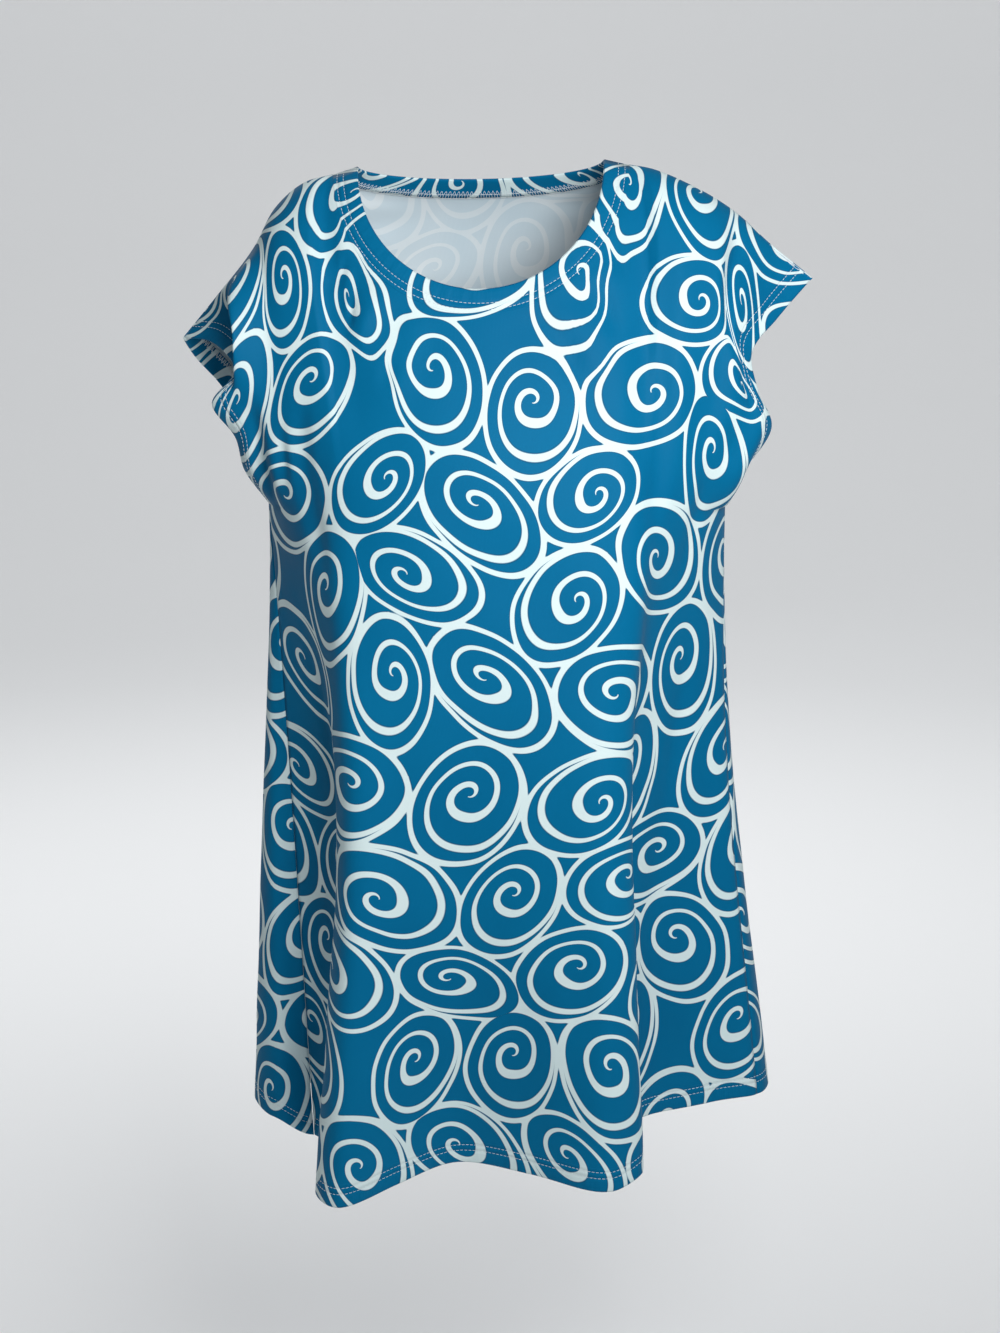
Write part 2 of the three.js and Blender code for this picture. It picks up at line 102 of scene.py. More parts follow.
SLEEVE_EDGES = {
    "front left": [(-214, -24, -268), (-219, -40, -238), (-236, -50, -208), (-216, -52, -182),
                   (-238, -20, -160)],
    "front right": [(212, -20, -268), (231, -36, -230), (217, -50, -198), (211, -48, -167),
                    (235, -24, -139)],
    "back left": [(-210, 26, -270), (-224, 46, -236), (-238, 44, -206), (-259, 24, -176)],
    "back right": [(210, 24, -268), (221, 44, -234), (215, 55, -199), (219, 46, -164), (244, 22, -132)],
}
UNDERARM_WAY, TIP_WAY = (0.2, 0.42, 0.88), (-0.25, 0.95, 0.12)
UNDERARM_REACH, SHOULDER_REACH, TIP_REACH, NECK_REACH, CORNER_REACH = 170, 185, 140, 165, 95
ARMHOLE_SPREAD, EDGE_SPREAD, RIDGE_RISE = 0.24, 0.17, 0.07
SEAM_SWING, NECK_SWING, CORNER_SPREAD = np.pi / 6, np.pi / 3, 0.24

# Folds above the chest: panel, place across and up, width across and up, push in x, y, z
YOKE_FOLDS = [
    ("front", 0.1, 0.7, 0.055, 0.34, (-19, -14, 0)),
    ("front", 0.045, 0.68, 0.045, 0.26, (15, -2, 0)),
    ("front", 0.075, 0.2, 0.04, 0.3, (4, 8, 0)),
    ("front", 0.9, 0.74, 0.04, 0.3, (-2, 10, 0)),
    ("front", 0.94, 0.16, 0.05, 0.3, (6, -7, 0)),
    ("front", 0.74, 0.42, 0.05, 0.5, (0, 5, 0)),
    ("back", 0.28, 0.45, 0.16, 0.42, (0, 8, 0)),
    ("back", 0.72, 0.45, 0.16, 0.42, (0, 8, 0)),
    ("back", 0.1, 0.5, 0.05, 0.4, (2, -8, 0)),
    ("back", 0.9, 0.5, 0.05, 0.4, (-2, -8, 0)),
]
SHOULDER_SHARE = {"front": 12 / 46, "back": 12 / 40}
NECK_COLUMNS = {"front": 66, "back": 48}
BACKWARDS = {"front": 1, "back": -1}
SIDES = {"left": -1, "right": 1}
TURN_ROWS, SHOULDER_COLUMNS, DROP_ROWS, YOKE_ROWS = 5, 36, 135, 70
RAW_COLUMNS = 360


def ease(t):
    s = np.clip(t, 0, 1)
    return s * s * (3 - 2 * s)


def hump(t):
    return np.where(np.abs(t) < 1, 0.5 + 0.5 * np.cos(np.pi * np.clip(t, -1, 1)), 0)


def unit(v):
    return v / np.linalg.norm(v, axis=-1, keepdims=True)


def hermite(a, da, b, db, t):
    t2, t3 = t * t, t * t * t
    return a * (2 * t3 - 3 * t2 + 1) + da * (t3 - 2 * t2 + t) + b * (3 * t2 - 2 * t3) + db * (t3 - t2)


def hem_height(x):
    xs, zs = zip(*HEM_HEIGHTS)
    k = np.clip(np.searchsorted(xs, x, side="right"), 1, len(xs) - 1)
    x0, x1, z0, z1 = np.take(xs, k - 1), np.take(xs, k), np.take(zs, k - 1), np.take(zs, k)
    return z0 + (z1 - z0) * ease((x - x0) / (x1 - x0))


HEM_Z = float(hem_height(0.0))
DROP_LENGTH = CHEST_Z - HEM_Z


def line_at(row, drop):
    waist = (CHEST_Z - WAIST_Z) / DROP_LENGTH
    a, b, c = (np.array(place, float) for place in row[1:])
    upper, lower = (b - a) / waist, (c - b) / (1 - waist)
    middle = upper + (lower - upper) * waist
    if drop <= waist:
        return hermite(a, upper * waist, b, middle * waist, drop / waist)
    rest = 1 - waist
    return hermite(b, middle * rest, c, lower * rest, (drop - waist) / rest)


def smooth_stretch(p0, p1, p2, p3, t):
    d0, d1, d2 = (math.sqrt(np.linalg.norm(b - a)) for a, b in ((p0, p1), (p1, p2), (p2, p3)))
    m1 = ((p1 - p0) / d0 - (p2 - p0) / (d0 + d1) + (p2 - p1) / d1) * d1
    m2 = ((p2 - p1) / d1 - (p3 - p1) / (d1 + d2) + (p3 - p2) / d2) * d1
    return hermite(p1, m1, p2, m2, t[:, None])


def by_length(points, shares):
    far = np.concatenate([[0], np.cumsum(np.linalg.norm(np.diff(points, axis=0), axis=1))])
    return np.stack([np.interp(shares * far[-1], far, points[:, k]) for k in range(points.shape[1])], 1)


def half_ring(panel, drop, shares):
    """One panel's half of the ring at a drop from the chest (0) to the bottom edge (1)."""
    ring = [line_at(row, drop) for row in FRONT_LINES + BACK_LINES[::-1]]
    first = 0 if panel == "front" else len(FRONT_LINES) - 1
    last = len(FRONT_LINES) - 1 if panel == "front" else len(ring)
    n, t = len(ring), np.linspace(0, 1, 17)
    walk = [smooth_stretch(*(ring[(i + k) % n] for k in (-1, 0, 1, 2)), t)[:-1] for i in range(first, last)]
    walk = np.concatenate(walk + [ring[last % n][None, :]])
    flat = by_length(walk if panel == "front" else walk[::-1], shares)
    z = CHEST_Z + (hem_height(flat[:, 0]) - CHEST_Z) * drop
    return np.column_stack([flat, z])


def curve_through(places, shares):
    """A smooth open curve through places, at shares of its length."""
    p = [np.array(place, float) for place in places]
    p = [2 * p[0] - p[1]] + p + [2 * p[-1] - p[-2]]
    t = np.linspace(0, 1, 41)
    walk = [smooth_stretch(*p[i:i + 4], t)[:-1] for i in range(len(p) - 3)]
    return by_length(np.concatenate(walk + [p[-2][None, :]]), shares)


def neck_edge(panel, share):
    turn = np.pi * (1 - share)
    sink = np.sin(turn)
    z = NECK["left"] + (NECK["right"] - NECK["left"]) * share
    y = sink ** NECK_BOW * (-NECK["front_out"] if panel == "front" else NECK["back_out"])
    drop = NECK["front_drop"] if panel == "front" else NECK["back_drop"]
    return np.column_stack([NECK["x"] + NECK["half"] * np.cos(turn), y, z - drop * sink])


def neck_turn_line(panel, share):
    turn = np.pi * (1 - share)
    corners = np.array([SHOULDERS["left"][-1], SHOULDERS["right"][-1]], float)
    seams = unit(corners - neck_edge(panel, np.array([0.0, 1.0])))
    along = np.where((share < 0.5)[:, None], seams[0], seams[1])
    down = np.array((0, -0.38, -0.92) if panel == "front" else (0, 0.68, -0.73))
    way = along * np.abs(np.cos(turn))[:, None] + down * np.sin(turn)[:, None]
    return neck_edge(panel, share) + NECK_TURN * unit(way)


def column_tops(panel, u):
    """Where each column ends above the chest, the way the cloth crosses there, and its reach."""
    part, back = SHOULDER_SHARE[panel], BACKWARDS[panel]
    at, way, reach = np.zeros((len(u), 3)), np.zeros((len(u), 3)), np.zeros(len(u))
    over = unit(np.array((0, back, RIDGE_RISE)))
    for side in ("left", "right"):
        here = (u <= part) if side == "left" else (u >= 1 - part)
        share = np.minimum(1, (u[here] if side == "left" else 1 - u[here]) / part)
        end = neck_turn_line("front", np.array([0.0 if side == "left" else 1.0]))[0]
        places = SHOULDERS[side] + [tuple(end)]
        at[here] = curve_through(places, share)
        to_neck = curve_through(places, np.minimum(1, share + 0.005)) - curve_through(places, share - 0.005)
        swing = SEAM_SWING * ease((share - 0.62) / 0.38)[:, None]
        turned = over * np.cos(swing) + unit(to_neck) * np.sin(swing)
        tip = np.array((SIDES[side] * TIP_WAY[0], back * TIP_WAY[1], TIP_WAY[2]))
        way[here] = unit(tip + (turned - tip) * ease(share * 1.8)[:, None])
        reach[here] = TIP_REACH + (SHOULDER_REACH - TIP_REACH) * ease(share * 2)
    here = (u > part) & (u < 1 - part)
    share = (u[here] - part) / (1 - 2 * part)
    near = np.minimum(share, 1 - share)
    at[here] = neck_turn_line(panel, share)
    inwards = unit(neck_edge(panel, share) - at[here])
    before, after = np.maximum(0, share - 0.01), np.minimum(1, share + 0.01)
    along = unit(neck_turn_line(panel, before) - neck_turn_line(panel, after))
    along = along * np.where(share < 0.5, 1, -1)[:, None]
    swing = (NECK_SWING * (1 - ease(near / CORNER_SPREAD)))[:, None]
    way[here] = unit(inwards * np.cos(swing) + along * np.sin(swing))
    fan = SHOULDER_REACH + (CORNER_REACH - SHOULDER_REACH) * ease(near / 0.1)
    reach[here] = fan + (NECK_REACH - fan) * ease((near - 0.1) / 0.26)
    return at, way, reach


def yoke(panel, levels):
    """The cloth above the chest, as raw rows of points at each level."""
    u = np.linspace(0, 1, RAW_COLUMNS + 1)
    foot = half_ring(panel, 0.0, u)
    rise = unit(foot - half_ring(panel, 0.02, u))
    at, way, reach = column_tops(panel, u)
    edge = np.minimum(u, 1 - u)
    inner = ease(edge / ARMHOLE_SPREAD)[:, None]
    side = np.where(u < 0.5, -1, 1)
    behind, high = -BACKWARDS[panel] * UNDERARM_WAY[1], UNDERARM_WAY[2]
    arm = unit(np.column_stack([side * UNDERARM_WAY[0], np.full_like(u, behind), np.full_like(u, high)]))
    length = UNDERARM_REACH + (np.linalg.norm(at - foot, axis=1)[:, None] - UNDERARM_REACH) * inner
    out = unit(arm + (rise - arm) * inner) * length
    over = way * reach[:, None]
    t = levels[:, None, None]
    rows = hermite(foot[None], out[None], at[None], over[None], t)
    for name, column in (("left", 0), ("right", RAW_COLUMNS)):
        places = [tuple(foot[column])] + SLEEVE_EDGES[f"{panel} {name}"] + [SHOULDERS[name][0]]
        missing = curve_through(places, levels) - rows[:, column]
        felt = (1 - ease(edge / EDGE_SPREAD)) * ((u < 0.5) if name == "left" else (u >= 0.5))
        rows = rows + missing[:, None, :] * felt[None, :, None]
    fade = ease(6 * (1 - levels))
    for where, across, up, wide, tall, push in YOKE_FOLDS:
        if where == panel:
            felt = hump((levels - up) / tall)[:, None] * hump((u - across) / wide)[None, :] * fade[:, None]
            rows = rows + felt[:, :, None] * np.array(push, float)
    return rows


# Creases of the cloth, in millimetres across the flat panel from its middle and up from the
# chest: panel, start, end, half width, depth (a ridge is negative)
CREASES = [
    ("front", (168, 150), (128, -20), 14, 3.2),
    ("front", (122, 120), (118, -150), 20, -3.2),
    ("front", (84, 96), (96, -60), 16, 2.2),
    ("front", (-176, 110), (-150, -60), 14, 3.2),
    ("front", (-128, 60), (-140, -230), 22, -3.0),
    ("front", (-196, 84), (-188, 6), 9, 2.6),
    ("front", (196, 60), (178, -70), 12, 2.2),
    ("front", (-60, 168), (-96, 108), 12, 1.8),
    ("front", (62, 166), (92, 112), 12, 1.8),
    ("front", (300, 150), (212, 40), 12, 4.4),
    ("front", (276, 156), (192, 48), 13, -2.8),
    ("front", (-112, 214), (-150, 150), 9, 1.8),
    ("front", (-128, 232), (-176, 190), 9, 1.6),
    ("front", (104, 210), (136, 156), 9, 1.8),
    ("front", (118, 238), (158, 206), 9, 1.6),
    ("front", (-92, 196), (-124, 150), 8, -1.4),
    ("front", (86, 190), (118, 146), 8, -1.4),
    ("front", (-206, -60), (-212, -330), 12, 1.6),
    ("front", (206, -90), (214, -360), 13, 1.8),
    ("front", (176, -200), (196, -520), 18, -2.2),
    ("front", (60, -250), (52, -545), 26, 2.6),
    ("front", (-92, -330), (-100, -560), 20, 2.2),
    ("front", (8, -380), (-14, -560), 24, 2.2),
    ("back", (-150, 150), (-104, 20), 14, 1.8),
    ("back", (150, 150), (108, 10), 14, 1.8),
    ("back", (-60, 120), (-70, -60), 18, 1.2),
    ("back", (58, 130), (74, -90), 18, 1.2),
    ("back", (-186, 90), (-168, -30), 11, 2.2),
    ("back", (186, 96), (170, -40), 11, 2.2),
    ("back", (-204, -120), (-222, -480), 14, 1.8),
    ("back", (206, -140), (224, -500), 14, 1.8),
    ("back", (0, -60), (-8, -300), 24, 1.4),
]
CREASE_BEND, CREASE_WAVER, CREASE_SPREAD = 0.12, 0.25, 0.3
UNEVEN, CALM_EDGE, CALM_ROWS = 0.55, 60.0, 9
PUCKER, PUCKER_FOLDS, PUCKER_REACH, PUCKER_SIDE = 1.4, 17, 45.0, 105.0
NECK_MIDDLE, NECK_RING = 250.0, 118.0


def near_neck(x, y):
    """How much a place on the flat panel takes part in the puckers on both sides of the neck."""
    ring = np.exp(-((np.hypot(x, y - NECK_MIDDLE) - NECK_RING) / PUCKER_REACH) ** 2)
    return ring * ease(np.abs(x) / PUCKER_SIDE)


def flat_place(rows):
    """Where each point lies on the flat panel: across from the middle, up from the chest."""
    middle = rows.shape[1] // 2
    step = np.linalg.norm(np.diff(rows, axis=1), axis=2)
    across = np.concatenate([np.zeros((rows.shape[0], 1)), np.cumsum(step, axis=1)], axis=1)
    across -= across[:, middle:middle + 1]
    rise = np.linalg.norm(np.diff(rows, axis=0), axis=2)
    up = np.concatenate([np.zeros((1, rows.shape[1])), np.cumsum(rise, axis=0)], axis=0)
    chest = TURN_ROWS + DROP_ROWS
    up -= up[chest:chest + 1]
    return np.stack([across, up], axis=2)


def panel_rows(panel):
    """Rows of points of one panel from the bottom edge to the shoulder seams and neck turn."""
    turn_up = -1 + HEM_TURN / DROP_LENGTH
    turned, free = np.linspace(-1, turn_up, TURN_ROWS + 1), np.linspace(turn_up, 0, DROP_ROWS + 1)
    drops = np.concatenate([turned, free[1:]])
    shares = np.linspace(0, 1, RAW_COLUMNS + 1)
    raw = [half_ring(panel, -drop, shares) for drop in drops]
    levels = np.linspace(0, 1, YOKE_ROWS + 1)[1:]
    raw = np.concatenate([np.array(raw), yoke(panel, levels)])
    part = SHOULDER_SHARE[panel]
    neck = np.linspace(part, 1 - part, NECK_COLUMNS[panel] + 1)[1:-1]
    rows = []
    for line in raw:
        far = np.concatenate([[0], np.cumsum(np.linalg.norm(np.diff(line, axis=0), axis=1))])
        cuffs = np.linspace(0, CUFF_TURN, TURN_ROWS + 1)
        left, right = np.interp(cuffs, far, shares), np.interp(far[-1] - cuffs, far, shares)
        left = np.concatenate([left, np.linspace(left[-1], part, SHOULDER_COLUMNS + 1)[1:]])
        right = np.concatenate([right, np.linspace(right[-1], 1 - part, SHOULDER_COLUMNS + 1)[1:]])
        u = np.concatenate([left, neck, right[::-1]])
        rows.append(np.stack([np.interp(u, shares, line[:, k]) for k in range(3)], 1))
    return np.array(rows)


def soft_creases(panel, rows, flat, outwards):
    """Troughs and ridges of uneven depth, and a slow unevenness of the whole cloth."""
    move = np.zeros(flat.shape[:2])
    x, y = flat[..., 0], flat[..., 1]
    for k, (where, start, end, wide, deep) in enumerate(CREASES):
        if where != panel:
            continue
        a, b = np.array(start, float), np.array(end, float)
        length = np.linalg.norm(b - a)
        along = ((x - a[0]) * (b - a)[0] + (y - a[1]) * (b - a)[1]) / length ** 2
        bend = CREASE_BEND * wide * np.sin(5.1 * along + k)
        off = ((x - a[0]) * (b - a)[1] - (y - a[1]) * (b - a)[0]) / length + bend
        taper = np.where((along > 0) & (along < 1), hump(2 * along - 1) ** 0.6, 0)
        waver = 1 + CREASE_WAVER * np.sin(9 * along + 2 * k)
        move -= deep * waver * taper * hump(off / (wide * (1.1 + CREASE_SPREAD * along)))
    slow = np.sin(x / 31 + 1.3 * np.sin(y / 57)) * np.sin(y / 43 + 0.8 + np.sin(x / 71))
    slow += 0.6 * np.sin(x / 17 + y / 29 + 2.0 * np.sin(y / 91))
    rise = np.minimum(y - y[:1], CALM_EDGE) / CALM_EDGE
    move += UNEVEN * slow * (0.35 + 0.65 * rise)
    turn = np.arctan2(x, NECK_MIDDLE - y)
    move += PUCKER * near_neck(x, y) * np.sin(PUCKER_FOLDS * turn + 1.5 * np.sin(3 * turn))
    border = np.ones(rows.shape[:2])
    fade = ease(np.linspace(0, 1, CALM_ROWS))
    border[-CALM_ROWS:] *= fade[::-1][:, None]
    border[:, :CALM_ROWS] *= fade[None, :]
    border[:, -CALM_ROWS:] *= fade[None, ::-1]
    return rows + outwards * (move * border)[..., None]


def row_normals(rows, panel):
    across, up = np.gradient(rows, axis=1), np.gradient(rows, axis=0)
    return unit(np.cross(across, up)) * BACKWARDS[panel]


cloth = {}
for panel in ("front", "back"):
    rows = panel_rows(panel)
    flat = flat_place(rows)
    cloth[panel] = {"rows": soft_creases(panel, rows, flat, row_normals(rows, panel)), "flat": flat}

# Where the panels are sewn, both edges sink a little into the seam
SEAM_SINK, SINK_BESIDE_SIDE, SINK_BESIDE_SHOULDER, SEAM_GAP = 0.9, 0.35, 0.4, 0.3
chest_row = TURN_ROWS + DROP_ROWS
for panel in ("front", "back"):
    rows = cloth[panel]["rows"]
    normals = row_normals(rows, panel)
    sink = np.zeros(rows.shape[:2])
    for column, inner in ((0, 1), (-1, -2)):
        sink[:chest_row + 1, column] = SEAM_SINK
        sink[:chest_row + 1, inner] = SINK_BESIDE_SIDE * SEAM_SINK
        pull = unit(rows[:chest_row + 1, inner] - rows[:chest_row + 1, column])
        rows[:chest_row + 1, column] += 0.5 * SEAM_GAP * pull
    shoulder = SHOULDER_COLUMNS + TURN_ROWS + 1
    for columns in (slice(0, shoulder), slice(-shoulder, None)):
        sink[-1, columns] = SEAM_SINK
        sink[-2, columns] = SINK_BESIDE_SHOULDER * SEAM_SINK
        rows[-1, columns] += 0.5 * SEAM_GAP * unit(rows[-2, columns] - rows[-1, columns])
    cloth[panel]["rows"] = rows - normals * sink[..., None]
    cloth[panel]["normals"] = row_normals(cloth[panel]["rows"], panel)

# Front and back
# Each panel is one piece of jersey about a millimetre thick, printed on its right side and pale
# on the wrong side. Its neck, sleeve and bottom edges are folded to the inside round a small
# radius, so that the printed side shows again inside, down to the raw overlocked edge.
JERSEY, FOLD_RADIUS, FOLD_STEPS = 0.85, 1.1, 4


class Sheet:
    """A panel's surface: points, their places when it lies flat, normals and faces."""

    def __init__(self, panel):
        self.panel = panel
        rows = cloth[panel]["rows"]
        self.tall, self.wide = rows.shape[:2]
        self.points = list(rows.reshape(-1, 3))
        self.flat = list(cloth[panel]["flat"].reshape(-1, 2))
        self.normals = list(cloth[panel]["normals"].reshape(-1, 3))
        self.faces = []
        self.grid = np.arange(self.tall * self.wide).reshape(self.tall, self.wide)
        for lower, upper in zip(self.grid[:-1], self.grid[1:]):
            self.join(lower, upper)

    def add_face(self, a, b, c, d):
        ids = (int(a), int(b), int(c), int(d))
        self.faces.append(ids if self.panel == "front" else ids[::-1])

    def add_row(self, points, flat, normals):
        first = len(self.points)
        self.points += list(points)
        self.flat += list(flat)
        self.normals += list(normals)
        return np.arange(first, first + len(points))

    def join(self, lower, upper):
        for i in range(len(lower) - 1):
            self.add_face(lower[i], lower[i + 1], upper[i + 1], upper[i])

    def neck_strip(self):
        """The last stretch of cloth up to the neck edge, in even steps."""
        corner = SHOULDER_COLUMNS + TURN_ROWS
        foot = self.grid[-1, corner:self.wide - corner]
        share = np.linspace(0, 1, len(foot))
        edge = neck_edge(self.panel, share)
        start, normals = np.array([self.points[k] for k in foot]), np.array([self.normals[k] for k in foot])
        base = np.array([self.flat[k] for k in foot])
        below = np.array([self.flat[k] for k in self.grid[-4, corner:self.wide - corner]])
        ahead = unit(base - below)
        rows = [foot]
        for step in range(1, TURN_ROWS + 1):
            t = step / TURN_ROWS
            points = start + (edge - start) * t
            across = np.gradient(points, axis=0)
            normal = unit(np.cross(across, edge - start)) * BACKWARDS[self.panel]
            normal = unit(normals * (1 - t) ** 2 + normal)
            row = self.add_row(points, base + ahead * NECK_TURN * t, normal)
            self.join(rows[-1], row)
            rows.append(row)
        return rows[::-1]

    def turn_in(self, rows, flip):
        """Fold the cloth round an edge: rows[0] is the edge, the others lie further inside."""
        edge, inner = rows[0], rows[1]
        p, q = (np.array([self.points[k] for k in row]) for row in (edge, inner))
        n = np.array([self.normals[k] for k in edge])
        out = p - q
        out = unit(out - n * np.sum(out * n, axis=1, keepdims=True))
        flat, inner_flat = (np.array([self.flat[k] for k in row]) for row in (edge, inner))
        away = unit(flat - inner_flat)
        last, run = edge, []
        for step in range(1, FOLD_STEPS + 1):
            angle = math.pi * step / FOLD_STEPS
            points = p - n * FOLD_RADIUS + FOLD_RADIUS * (n * math.cos(angle) + out * math.sin(angle))
            normals = n * math.cos(angle) + out * math.sin(angle)
            run.append((points, flat + away * FOLD_RADIUS * angle, normals))
        arc = FOLD_RADIUS * math.pi
        for row in rows[1:]:
            at, up = (np.array([source[i] for i in row]) for source in (self.points, self.normals))
            place = np.array([self.flat[i] for i in row])
            far = np.linalg.norm(place - flat, axis=1, keepdims=True)
            run.append((at - 2 * FOLD_RADIUS * up, flat + away * (arc + far), -up))
        for points, places, normals in run:
            row = self.add_row(points, places, normals)
            self.join(*((last, row) if flip else (row, last)))
            last = row


sheets = {}
for panel in ("front", "back"):
    sheet = Sheet(panel)
    sheet.edges = {
        "neck": sheet.neck_strip(),
        "hem": [sheet.grid[k] for k in range(TURN_ROWS + 1)],
        "left": [sheet.grid[chest_row:, k] for k in range(TURN_ROWS + 1)],
        "right": [sheet.grid[chest_row:, -1 - k] for k in range(TURN_ROWS + 1)],
    }
    for edge, flip in (("neck", True), ("hem", False), ("left", True), ("right", False)):
        sheet.turn_in(sheet.edges[edge], flip)
    sheets[panel] = sheet

# The print is white on blue: ovals that touch, each drawn as an outline with a spiral inside.
# The ovals are packed over the flat panel at their real size, each its own way up.
PRINT_SEED = {"front": 11, "back": 29}
OVAL_PITCH, OVAL_JITTER, ROW_STEP = 104.0, (26, 24), 0.8
OVAL_LONG, OVAL_ROUND = (52.0, 67.0), (0.58, 0.76)
PACKING_STEPS, OVAL_GAP, OVAL_PULL = 260, 1.5, 9
PRINT_WAVER, FAR_FROM_EDGE = 3.0, 60.0


def oval_radius(oval, angle):
    a, b, turn = oval[..., 2], oval[..., 3], oval[..., 4]
    return a * b / np.sqrt((b * np.cos(angle - turn)) ** 2 + (a * np.sin(angle - turn)) ** 2)


def packed_ovals(panel, low, high):
    """Centre x and y, half length, half width, turn and hand of each oval of the print."""
    rng = np.random.default_rng(PRINT_SEED[panel])
    places = []
    y, odd = low[1] - OVAL_PITCH, False
    while y < high[1] + OVAL_PITCH:
        x = low[0] - OVAL_PITCH * (1.0 if odd else 0.5)
        while x < high[0] + OVAL_PITCH:
            places.append([at + rng.uniform(-jitter, jitter) for at, jitter in zip((x, y), OVAL_JITTER)])
            x += OVAL_PITCH
        y += OVAL_PITCH * ROW_STEP
        odd = not odd
    n = len(places)
    long = rng.uniform(*OVAL_LONG, n)
    ovals = np.column_stack([np.array(places), long, long * rng.uniform(*OVAL_ROUND, n),
                             rng.uniform(0, math.pi, n), rng.choice([-1, 1], n)])
    for step in range(PACKING_STEPS):
        off = ovals[None, :, :2] - ovals[:, None, :2]
        far = np.linalg.norm(off, axis=2) + np.eye(n) * 1e6
        angle = np.arctan2(off[..., 1], off[..., 0])
        reach = oval_radius(ovals[:, None, :], angle) + oval_radius(ovals[None, :, :], angle)
        gap = far - reach + OVAL_GAP
        pull = np.where(gap < 0, 0.5 * gap, np.where(gap < OVAL_PULL, 0.05 * gap, 0))
        ovals[:, :2] += 0.5 * np.sum(off / far[..., None] * pull[..., None], axis=1)
        if step % 20 == 19:
            near = np.sort(gap, axis=1)[:, :3].mean(axis=1)
            ovals[:, 2:4] *= np.clip(1 + 0.5 * near / 50, 0.96, 1.05)[:, None]
            ovals[:, 4] += rng.uniform(-0.05, 0.05, n)
    return ovals


def oval_places(ovals, points, which):
    """Points of the flat panel in the frame of the ovals that they are given."""
    picked = ovals[which]
    off = points - picked[:, :2]
    c, s = np.cos(picked[:, 4]), np.sin(picked[:, 4])
    along = (off[:, 0] * c + off[:, 1] * s) / picked[:, 2]
    across = (-off[:, 0] * s + off[:, 1] * c) / picked[:, 3] * picked[:, 5]
    return np.column_stack([along, across])


def edge_places(sheet):
    """How far each point lies from the nearest turned edge, and how far along it."""
    n = len(sheet.points)
    far, along = np.full(n, FAR_FROM_EDGE), np.zeros(n)
    for rows in sheet.edges.values():
        edge = np.array([sheet.points[k] for k in rows[0]])
        run = np.concatenate([[0], np.cumsum(np.linalg.norm(np.diff(edge, axis=0), axis=1))])
        deep = np.zeros(len(edge))
        last = edge
        for row in rows[1:]:
            at = np.array([sheet.points[k] for k in row])
            deep = deep + np.linalg.norm(at - last, axis=1)
            last = at
            closer = deep < far[row]
            far[row[closer]] = deep[closer]
            along[row[closer]] = run[closer]
        far[rows[0]], along[rows[0]] = 0, run
    return far, along


def new_piece(name, points, faces):
    mesh = bpy.data.meshes.new(name)
    mesh.from_pydata((np.reshape(points, (-1, 3)) * MM).tolist(), [], faces)
    mesh.shade_smooth()
    piece = bpy.data.objects.new(name, mesh)
    bpy.context.collection.objects.link(piece)
    return piece


def write_places(mesh, name, places):
    layer = mesh.uv_layers.new(name=name)
    layer.data.foreach_set("uv", places.astype(np.float32).reshape(-1))


def thicken(piece, thickness, offset):
    """Give a sheet its wall, with the wrong side in the second material where it has two."""
    bpy.context.view_layer.objects.active = piece
    piece.select_set(True)
    wall = piece.modifiers.new("cloth", "SOLIDIFY")
    wall.thickness, wall.offset = thickness * MM, offset
    if len(piece.data.materials) > 1:
        wall.material_offset, wall.material_offset_rim = 1, 0
        wall.use_even_offset, wall.use_quality_normals = True, True
    bpy.ops.object.modifier_apply(modifier="cloth")
    piece.select_set(False)


def build_panel(panel):
    """The sheet of one panel, with its three nearest ovals, its cut and its edges as UV maps."""
    sheet = sheets[panel]
    flat, corners = np.array(sheet.flat), np.array(sheet.faces)
    piece = new_piece(f"dress_{panel}", np.array(sheet.points), sheet.faces)
    ovals = packed_ovals(panel, flat.min(axis=0), flat.max(axis=0))
    off = flat[corners].mean(axis=1)[:, None, :] - ovals[None, :, :2]
    c, s = np.cos(ovals[:, 4]), np.sin(ovals[:, 4])
    along, across = off[..., 0] * c + off[..., 1] * s, off[..., 1] * c - off[..., 0] * s
    nearest = np.argsort(np.hypot(along / ovals[:, 2], across / ovals[:, 3]), axis=1)[:, :3]
    x, y = flat[:, 0], flat[:, 1]
    waver = PRINT_WAVER * near_neck(x, y)
    inked = flat + np.column_stack([waver * np.sin(y / 7.5 + x / 19), waver * np.sin(x / 8 + 1.7)])
    loops = corners.reshape(-1)
    for rank, name in enumerate(OVAL_MAPS):
        write_places(piece.data, name, oval_places(ovals, inked[loops], np.repeat(nearest[:, rank], 4)))
    write_places(piece.data, "cut", flat[loops] * MM)
    write_places(piece.data, "edge_place", np.column_stack(edge_places(sheet))[loops] * MM)
    return piece


def give(tree, node, inputs):
    """Set a node's inputs to values, or link other nodes' sockets to them."""
    for slot, value in inputs.items():
        if isinstance(value, (int, float, tuple)):
            node.inputs[slot].default_value = value
        else:
            tree.links.new(value, node.inputs[slot])
    return node.outputs


def socket(tree, kind, operation, *inputs, clamp=False):
    node = tree.nodes.new(kind)
    if operation:
        node.operation = operation
    if clamp:
        node.use_clamp = True
    return give(tree, node, dict(enumerate(inputs)))[0]


def maths(tree):
    def m(operation, *inputs, clamp=False):
        return socket(tree, "ShaderNodeMath", operation, *inputs, clamp=clamp)
    return m


def ramp(tree, value, *ends):
    """A value between the first two ends becomes one between the last two, and stays there."""
    return socket(tree, "ShaderNodeMapRange", None, value, *ends)


def noise(tree, where, scale, detail=2.0):
    texture = tree.nodes.new("ShaderNodeTexNoise")
    return give(tree, texture, {"Vector": where, "Scale": scale, "Detail": detail})


def blend(tree, share, first, second):
    mixed = tree.nodes.new("ShaderNodeMix")
    mixed.data_type = "RGBA"
    return give(tree, mixed, {0: share, 6: first, 7: second})[2]


